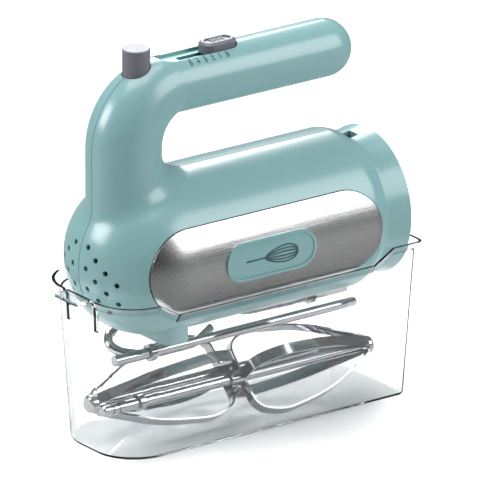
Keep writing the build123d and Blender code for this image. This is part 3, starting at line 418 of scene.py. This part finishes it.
@dataclass(frozen=True)
class Clear:
    """Clear moulded plastic, with painted shade that darkens its walls where they are seen edge-on.
    """

    name: str
    colour: tuple = (0.985, 0.995, 0.995)
    roughness: float = 0.02
    # painted shade: grey that the plastic's colour runs to where the view grazes a wall, drawing
    # walls seen edge-on as dark lines
    edge: tuple = (0.42, 0.45, 0.47)

    def material(self) -> bpy.types.Material:
        """Build the finish's material.

        Returns:
            The new material.
        """
        material, sheet, shader = start_material(self.name)
        skin = sheet.group(EFFECTS.moulded, Peel_Scale=120.0, Drift_Scale=18.0)
        marks = sheet.group(EFFECTS.rubbed, Scale=40.0)
        colour = sheet.mix(skin.outputs["Drift"], tone(self.colour, 0.985), tone(self.colour, 1.0))
        # painted shade: the colour is mixed towards the grey edge colour as the view grazes the
        # surface, so the case's walls read as dark rims
        grazing_shade = sheet.add("MapRange", {"Value": sheet.add("LayerWeight").outputs["Facing"],
                                         "From Min": 0.45, "From Max": 0.95})
        colour = sheet.mix(grazing_shade.outputs[0], colour, (*self.edge, 1.0))
        rough = sheet.span(marks.outputs["Scratches"], self.roughness, self.roughness + 0.15)
        bump = sheet.add("Bump", {"Strength": 0.03, "Distance": 0.001,
                                  "Height": skin.outputs["Height"]})
        sheet.tree.links.new(colour, shader.inputs["Base Color"])
        sheet.tree.links.new(rough, shader.inputs["Roughness"])
        sheet.tree.links.new(bump.outputs[0], shader.inputs["Normal"])
        shader.inputs["Transmission Weight"].default_value = 1.0
        shader.inputs["IOR"].default_value = 1.46
        rays = sheet.add("LightPath")
        see_through = sheet.math("MAXIMUM", rays.outputs["Is Shadow Ray"],
                                 rays.outputs["Is Diffuse Ray"])
        open_air = sheet.add("BsdfTransparent", {"Color": (0.955, 0.962, 0.965, 1.0)})
        both = sheet.add("MixShader", {0: see_through, 1: shader.outputs[0],
                                       2: open_air.outputs[0]})
        finish = next(n for n in material.node_tree.nodes if n.type == "OUTPUT_MATERIAL")
        material.node_tree.links.new(both.outputs[0], finish.inputs["Surface"])
        return material


class Look(Enum):
    """Every finish on the mixer, by the slot it belongs to."""

    MINT = Moulded("mint_plastic", (0.190, 0.350, 0.362), 0.34, 0.4, 0.02, 0.012,
                   smudge=0.015)
    TEAL = Moulded("deep_teal_plastic", (0.105, 0.300, 0.300), 0.35, 0.2, 0.05)
    INK = Moulded("deep_teal_plastic", (0.030, 0.085, 0.090), 0.5, 0.0, 0.05)
    BADGE = Moulded("badge_plastic", (0.185, 0.340, 0.352), 0.25, 0.5, 0.02, 0.01)
    GREY = Moulded("grey_plastic", (0.135, 0.137, 0.160), 0.36, 0.1, 0.06, 0.05, 1600.0)
    FRAME = Moulded("frame_plastic", (0.022, 0.022, 0.025), 0.5, 0.0, 0.15, 0.12, 1400.0)
    NYLON = Moulded("gear_nylon", (0.74, 0.70, 0.58), 0.45, 0.0, 0.05, 0.05, 1100.0)
    CARBON = Moulded("carbon", (0.018, 0.018, 0.019), 0.65, 0.0, 0.3, 0.3, 3000.0)
    BOARD = Moulded("board_green", (0.012, 0.075, 0.028), 0.3, 0.3, 0.2, 0.05, 500.0)
    YELLOW = Moulded("capacitor_yellow", (0.62, 0.36, 0.02), 0.3, 0.3, 0.06)
    RUBBER = Moulded("gland_rubber", (0.012, 0.012, 0.012), 0.6, 0.0, 0.2, 0.1, 2000.0)
    LEAD = Moulded("lead_plastic", (0.48, 0.012, 0.008), 0.35, 0.1, 0.08)
    PANEL = Metal("brushed_panel", (0.66, 0.665, 0.67), 0.28, 0.12, depth=0.12)
    CHROME = Metal("bright_steel", (0.37, 0.375, 0.39), 0.10, 0.03, (60.0, 900.0, 900.0),
                   (20.0, 60.0, 60.0), 0.02, 0.05)
    TURNED = Metal("spindle_steel", (0.50, 0.50, 0.51), 0.24, 0.06, (1500.0, 1500.0, 60.0),
                   depth=0.05)
    BRONZE = Metal("bronze", (0.47, 0.26, 0.10), 0.38, 0.08, (800.0, 800.0, 800.0), depth=0.15)
    CAST = Metal("die_cast", (0.48, 0.48, 0.49), 0.48, 0.08, (500.0, 500.0, 500.0), depth=0.3)
    ZINC = Metal("zinc_screw", (0.52, 0.53, 0.50), 0.35, 0.06, (900.0, 900.0, 900.0), depth=0.1)
    IRON = Layered("lamination_iron", (0.20, 0.205, 0.215), (1.0, 0.0, 0.0), 0.0007)
    COPPER = Layered("copper_wire", (0.60, 0.22, 0.07), (0.35, 0.0, 0.94), 0.0008,
                     roughness=0.25, wander=1.2)
    CLEAR = Clear("clear_plastic")

    @property
    def slot(self) -> str:
        """Material slot of the record that this finish belongs to."""
        return self.value.name


MATERIALS = {look: look.value.material() for look in Look}


# --------------------------------------------------------------------- tools


def dress(look: Look, *names: str) -> None:
    """Give CAD nodes a finish.

    Args:
        look: the finish.
        names: names of the nodes.
    """
    for name in names:
        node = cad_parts[name]
        node.data.materials.clear()
        node.data.materials.append(MATERIALS[look])


def place_piece(name: str, shape: bmesh.types.BMesh, look: Look, body: str,
                sharp: float = 40.0) -> bpy.types.Object:
    """Turn a finished bmesh into a piece that rides on a body.

    Args:
        name: name of the piece.
        shape: the mesh, in its final place; it is freed.
        look: its finish.
        body: body that it rides on.
        sharp: edges over this angle in degrees stay sharp.

    Returns:
        The new object.
    """
    mesh = bpy.data.meshes.new(name)
    for face in shape.faces:
        face.smooth = True
    for edge in shape.edges:
        edge.smooth = len(edge.link_faces) == 2 and edge.calc_face_angle(0.0) < radians(sharp)
    shape.to_mesh(mesh)
    shape.free()
    mesh.materials.append(MATERIALS[look])
    piece = bpy.data.objects.new(name, mesh)
    bpy.context.scene.collection.objects.link(piece)
    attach(piece, body)
    LOG.info("%s: %d faces", name, len(mesh.polygons))
    return piece


def node_copy(name: str) -> bmesh.types.BMesh:
    """Give a merged copy of a CAD node's mesh.

    Args:
        name: name of the node.

    Returns:
        The copy.
    """
    shape = bmesh.new()
    shape.from_mesh(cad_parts[name].data)
    bmesh.ops.remove_doubles(shape, verts=shape.verts, dist=1e-6)
    return shape


def wire_mesh(lines: Iterable[tuple[list, bool]], radius: float, sides: int = 2) -> bmesh.types.BMesh:
    """Draw round strokes along lines of points.

    Args:
        lines: each line's points and whether it closes.
        radius: radius of the stroke.
        sides: curve's bevel resolution.

    Returns:
        The strokes as one bmesh.
    """
    curve = bpy.data.curves.new("strokes", "CURVE")
    curve.dimensions = "3D"
    curve.bevel_depth = radius
    curve.bevel_resolution = sides
    curve.use_fill_caps = True
    for points, closed in lines:
        spline = curve.splines.new("POLY")
        spline.points.add(len(points) - 1)
        for point, place in zip(spline.points, points):
            point.co = (*place, 1.0)
        spline.use_cyclic_u = closed
    return curve_mesh(curve)


def curve_mesh(curve: bpy.types.Curve) -> bmesh.types.BMesh:
    """Turn a curve or text into a merged bmesh and remove the curve.

    Args:
        curve: curve or text to turn; it is removed.

    Returns:
        Its surface.
    """
    holder = bpy.data.objects.new("strokes", curve)
    bpy.context.scene.collection.objects.link(holder)
    mesh = bpy.data.meshes.new_from_object(holder.evaluated_get(
        bpy.context.evaluated_depsgraph_get()))
    bpy.data.objects.remove(holder)
    bpy.data.curves.remove(curve)
    shape = bmesh.new()
    shape.from_mesh(mesh)
    bpy.data.meshes.remove(mesh)
    bmesh.ops.remove_doubles(shape, verts=shape.verts, dist=1e-7)
    bmesh.ops.recalc_face_normals(shape, faces=shape.faces)
    return shape


@dataclass(frozen=True)
class RoundWall:
    """Round wall along X that flat marks are wrapped onto."""

    height: float
    radius: float

    def wrap(self, shape: bmesh.types.BMesh, along: float, turn: float, side: int) -> None:
        """Wrap a flat mark, drawn in X and Y, onto the wall.

        Args:
            shape: mark to wrap, its thickness in Z.
            along: place of the mark's centre along X.
            turn: angle of its centre down from the top, in degrees.
            side: -1 for the left wall, 1 for the right one.
        """
        for vert in shape.verts:
            across, up, out = vert.co
            angle = radians(turn) - up / self.radius
            reach = self.radius + out
            vert.co = (along - side * across, side * reach * sin(angle),
                       self.height + reach * cos(angle))
        if side > 0:
            bmesh.ops.recalc_face_normals(shape, faces=shape.faces)


# -------------------------------------------------------------------- pieces


@dataclass
class Housing:
    """Mint shell halves, heel cap and cord gland."""

    seam_radius: float = 0.14 * MM
    seam_offset: float = 0.01 * MM

    def build(self) -> None:
        """Dress the shells and draw the seam between them."""
        dress(Look.MINT, "housing_left", "housing_right", "heel_cap")
        dress(Look.RUBBER, "cord_gland")
        dress(Look.ZINC, "housing_screws")
        seam = wire_mesh(self.seam_lines(), self.seam_radius, 1)
        place_piece("housing_seam", seam, Look.INK, "mixer", 180.0)

    def seam_lines(self) -> list[tuple[list, bool]]:
        """Follow the edge where the left shell meets the centre plane.

        Returns:
            Each line's points and whether it closes.
        """
        shape = node_copy("housing_left")
        cut = bmesh.ops.bisect_plane(
            shape, geom=[*shape.verts, *shape.edges, *shape.faces], dist=1e-7,
            plane_co=(0.0, -self.seam_offset, 0.0), plane_no=(0.0, 1.0, 0.0))["geom_cut"]
        # a dict keeps the edges in mesh order, so that every run traces the same lines
        left = {item: None for item in cut if isinstance(item, bmesh.types.BMEdge)}
        lines = []
        while left:
            edge = next(iter(left))
            del left[edge]
            chain = [*edge.verts]
            self.walk_on(chain, left)
            if chain[0] is not chain[-1]:
                chain.reverse()
                self.walk_on(chain, left)
            closed = chain[0] is chain[-1]
            points = [tuple(vert.co) for vert in (chain[:-1] if closed else chain)]
            if len(points) > 2:
                lines.append((points, closed))
        shape.free()
        return lines

    def walk_on(self, chain: list[bmesh.types.BMVert], left: dict) -> None:
        """Lengthen a chain of points along the edges that are still left.

        Args:
            chain: points so far; it grows at its end.
            left: edges not used yet; the used ones are taken out.
        """
        while onward := [edge for edge in chain[-1].link_edges if edge in left]:
            del left[onward[0]]
            chain.append(onward[0].other_vert(chain[-1]))


@dataclass
class SidePanels:
    """Brushed steel panels with a badge on each."""

    stroke: float = 0.42 * MM
    handle_reach: float = 17.0 * MM
    loop_reach: float = 17.0 * MM
    loop_heights: tuple = (6.0 * MM, 3.7 * MM, 1.4 * MM)
    rim: float = 0.5 * MM
    grip_end: float = 4.25 * MM
    loop_points: int = 40
    loop_fullness: float = 0.75
    loop_taper: float = 0.25

    def build(self) -> None:
        """Dress the panels and badges and draw the whisk mark."""
        for side, word in ((-1, "left"), (1, "right")):
            dress(Look.PANEL, f"side_panel_{word}")
            dress(Look.BADGE, f"badge_{word}")
            low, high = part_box(f"badge_{word}")
            wall = RoundWall(AXIS_Z, max(abs(low.y), abs(high.y)) - self.rim)
            mark = wire_mesh(self.mark_lines(), self.stroke)
            wall.wrap(mark, (low.x + high.x) / 2, 90.0, side)
            place_piece(f"whisk_mark_{word}", mark, Look.INK, "mixer", 180.0)

    def mark_lines(self) -> list[tuple[list, bool]]:
        """Draw a plain whisk: a grip and three nested loops.

        Returns:
            Each line's points and whether it closes.
        """
        start = -self.grip_end
        grip = [(-self.handle_reach, 0.0, 0.0), (start, 0.0, 0.0)]
        reach = (self.loop_reach - start) / 2
        loops = []
        for height in self.loop_heights:
            turns = [2 * pi * k / self.loop_points for k in range(self.loop_points)]
            points = [
                (start + reach * (1 - cos(turn)),
                 height * sin(turn) * (self.loop_fullness - self.loop_taper * cos(turn)), 0.0)
                for turn in turns
            ]
            loops.append((points, True))
        return [(grip, False), *loops]


@dataclass
class SpeedControl:
    """Slider track, knob and what they move, with the printed scale."""

    step: float = 4.8 * MM
    speeds: int = 5
    digit_height: float = 3.0 * MM
    digit_turn: float = 38.5
    tick_turn: float = 29.5
    tick_length: float = 1.5 * MM
    tick_radius: float = 0.16 * MM
    print_thick: float = 0.05 * MM

    def build(self) -> None:
        """Dress the slider's pieces and print the scale."""
        dress(Look.TEAL, "slider_track")
        dress(Look.GREY, "speed_knob")
        dress(Look.FRAME, "slider_carrier", "speed_switch")
        dress(Look.BOARD, "control_board")
        low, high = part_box("speed_knob")
        first = (low.x + high.x) / 2
        wall = RoundWall(HANDLE_Z, HANDLE_R)
        for speed in range(self.speeds + 1):
            along = first - speed * self.step
            digit = self.digit(str(speed))
            wall.wrap(digit, along, self.digit_turn, -1)
            place_piece(f"speed_{speed}", digit, Look.INK, "mixer")
            half = self.tick_length / 2
            tick = wire_mesh([([(0.0, -half, 0.0), (0.0, half, 0.0)], False)], self.tick_radius, 1)
            wall.wrap(tick, along, self.tick_turn, -1)
            place_piece(f"speed_tick_{speed}", tick, Look.INK, "mixer")

    def digit(self, word: str) -> bmesh.types.BMesh:
        """Draw one number, flat and centred.

        Args:
            word: the number as text.

        Returns:
            Its surface.
        """
        text = bpy.data.curves.new("digit", "FONT")
        text.body = word
        text.size = self.digit_height * 1.35
        text.extrude = self.print_thick
        text.align_x = "CENTER"
        text.align_y = "CENTER"
        return curve_mesh(text)


@dataclass
class Ejector:
    """Button, rod, fork and return spring."""

    def build(self) -> None:
        """Dress the ejector's pieces."""
        dress(Look.GREY, "eject_button")
        dress(Look.FRAME, "eject_fork")
        dress(Look.TURNED, "eject_rod", "eject_spring")


@dataclass
class Drive:
    """Gearbox, motor and wiring inside the housing."""

    finishes: dict[Look, tuple[str, ...]] = field(default_factory=lambda: {
        Look.FRAME: ("gearbox_frame", "gearbox_cover"),
        Look.ZINC: ("gearbox_screws",),
        Look.BRONZE: ("spindle_bushes", "nose_bush", "commutator", "brush_holders"),
        Look.TURNED: ("front_bearing", "rear_bearing", "spindle_left", "spindle_right",
                      "motor_shaft"),
        Look.NYLON: ("gear_left", "gear_right", "cooling_fan"),
        Look.IRON: ("armature_core", "stator_core"),
        Look.COPPER: ("armature_windings", "field_coils"),
        Look.CAST: ("motor_bridge",),
        Look.CARBON: ("carbon_brushes",),
        Look.YELLOW: ("suppressor_capacitor",),
        Look.LEAD: ("motor_leads",),
    })

    def build(self) -> None:
        """Dress the drive's pieces."""
        for look, names in self.finishes.items():
            dress(look, *names)


@dataclass
class Tools:
    """Whisks and dough hooks stored in the case."""

    def build(self) -> None:
        """Dress the tools."""
        for word in ("left", "right"):
            dress(Look.CHROME, f"whisk_blades_{word}", f"whisk_shaft_{word}",
                  f"whisk_collar_{word}", f"whisk_cap_{word}", f"hook_rod_{word}",
                  f"hook_sleeve_{word}")


@dataclass
class StorageCase:
    """Clear tub that holds the mixer and its tools."""

    def build(self) -> None:
        """Dress the case."""
        dress(Look.CLEAR, "storage_case")


@dataclass(frozen=True)
class Lamp:
    """One soft square light that faces the object."""

    name: str
    place: tuple
    size: float
    power: float

    def hang(self, aim: Vector) -> None:
        """Add the light to the scene.

        Args:
            aim: point that it faces and that its place is counted from.
        """
        light = bpy.data.lights.new(self.name, "AREA")
        light.energy = self.power
        light.size = self.size
        holder = bpy.data.objects.new(self.name, light)
        holder.location = aim + Vector(self.place)
        holder.rotation_mode = "QUATERNION"
        holder.rotation_quaternion = (-Vector(self.place)).to_track_quat("-Z", "Y")
        bpy.context.scene.collection.objects.link(holder)


@dataclass
class Studio:
    """Camera, pale floor and soft lights."""

    azimuth: float = -36.0
    elevation: float = 20.0
    lens: float = 1000.0
    sensor: float = 36.0
    view_width: float = 0.2572
    aim_right: float = 0.0087
    aim_up: float = -0.0096
    floor_drop: float = 0.0004
    mirrored_floor: float = 0.16
    room_light: float = 2.7
    room_dark: float = 0.5
    room_turn: float = 1.6
    room_fade: tuple = (0.35, 0.95)
    floor_half: float = 6.0
    floor_grey: float = 0.93
    floor_roughness: float = 0.6
    view_reach: float = 100.0
    lamps: tuple = (
        Lamp("key", (0.52, -0.72, 0.56), 0.7, 8.0),
        Lamp("top", (-0.1, 0.1, 1.1), 0.8, 11.0),
        Lamp("rear", (-0.8, 0.35, 0.45), 0.4, 6.0),
        Lamp("backdrop", (0.7, 1.5, 1.2), 1.0, 30.0),
    )

    def build(self) -> None:
        """Set up the view and the light."""
        low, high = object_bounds()
        middle = (low + high) / 2
        turn, lift = radians(self.azimuth), radians(self.elevation)
        back = Vector((sin(turn) * cos(lift), -cos(turn) * cos(lift), sin(lift)))
        right = Vector((cos(turn), sin(turn), 0.0))
        aim = middle + right * self.aim_right + back.cross(right) * self.aim_up
        camera = bpy.data.cameras.new("view")
        camera.lens = self.lens
        camera.sensor_width = self.sensor
        camera.clip_end = self.view_reach
        holder = bpy.data.objects.new("view", camera)
        holder.location = aim + back * (self.view_width * self.lens / self.sensor)
        holder.rotation_mode = "QUATERNION"
        holder.rotation_quaternion = (-back).to_track_quat("-Z", "Y")
        bpy.context.scene.collection.objects.link(holder)
        bpy.context.scene.camera = holder
        bpy.context.scene.view_settings.view_transform = "Standard"
        self._floor()
        self._world(back)
        for lamp in self.lamps:
            lamp.hang(middle)

    def _floor(self) -> None:
        """Lay a pale floor that reads darker in mirrored light than to the eye."""
        shape = bmesh.new()
        bmesh.ops.create_grid(shape, x_segments=1, y_segments=1, size=self.floor_half)
        bmesh.ops.translate(shape, verts=shape.verts, vec=(0.0, 0.0, -self.floor_drop))
        mesh = bpy.data.meshes.new("floor")
        shape.to_mesh(mesh)
        shape.free()
        material, sheet, shader = start_material("floor")
        rays = sheet.add("LightPath")
        mirrored = sheet.math("SUBTRACT", rays.outputs["Is Glossy Ray"],
                              rays.outputs["Is Transmission Ray"])
        colour = sheet.mix(sheet.math("MAXIMUM", mirrored, 0.0),
                           (*(self.floor_grey,) * 3, 1.0), (*(self.mirrored_floor,) * 3, 1.0))
        sheet.tree.links.new(colour, shader.inputs["Base Color"])
        shader.inputs["Roughness"].default_value = self.floor_roughness
        mesh.materials.append(material)
        floor = bpy.data.objects.new("floor", mesh)
        bpy.context.scene.collection.objects.link(floor)
        floor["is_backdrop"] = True

    def _world(self, dark_side: Vector) -> None:
        """Fill the room with white light that falls off towards one side.

        Args:
            dark_side: direction of the room's dark side.
        """
        world = bpy.data.worlds.new("room")
        world.use_nodes = True
        sheet = Sheet(world.node_tree)
        glow = world.node_tree.nodes["Background"]
        way = sheet.add("TexCoord").outputs["Generated"]
        level = Vector((dark_side.x * self.room_turn, dark_side.y, 0.0)).normalized()
        facing = sheet.add("VectorMath", {0: way, 1: level}, operation="DOT_PRODUCT")
        strength = sheet.add("MapRange", {"Value": facing.outputs["Value"],
                                          "From Min": self.room_fade[0],
                                          "From Max": self.room_fade[1],
                                          "To Min": self.room_light,
                                          "To Max": self.room_dark},
                             interpolation_type="SMOOTHSTEP")
        world.node_tree.links.new(strength.outputs[0], glow.inputs["Strength"])
        bpy.context.scene.world = world


def main() -> None:
    """Build the object's looks in order."""
    logging.basicConfig(level=logging.INFO, format="%(message)s")
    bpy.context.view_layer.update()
    for group in (Housing(), SidePanels(), SpeedControl(), Ejector(), Drive(), Tools(),
                  StorageCase(), Studio()):
        group.build()
        LOG.info("%s built", type(group).__name__)


if __name__ == "__main__":
    main()
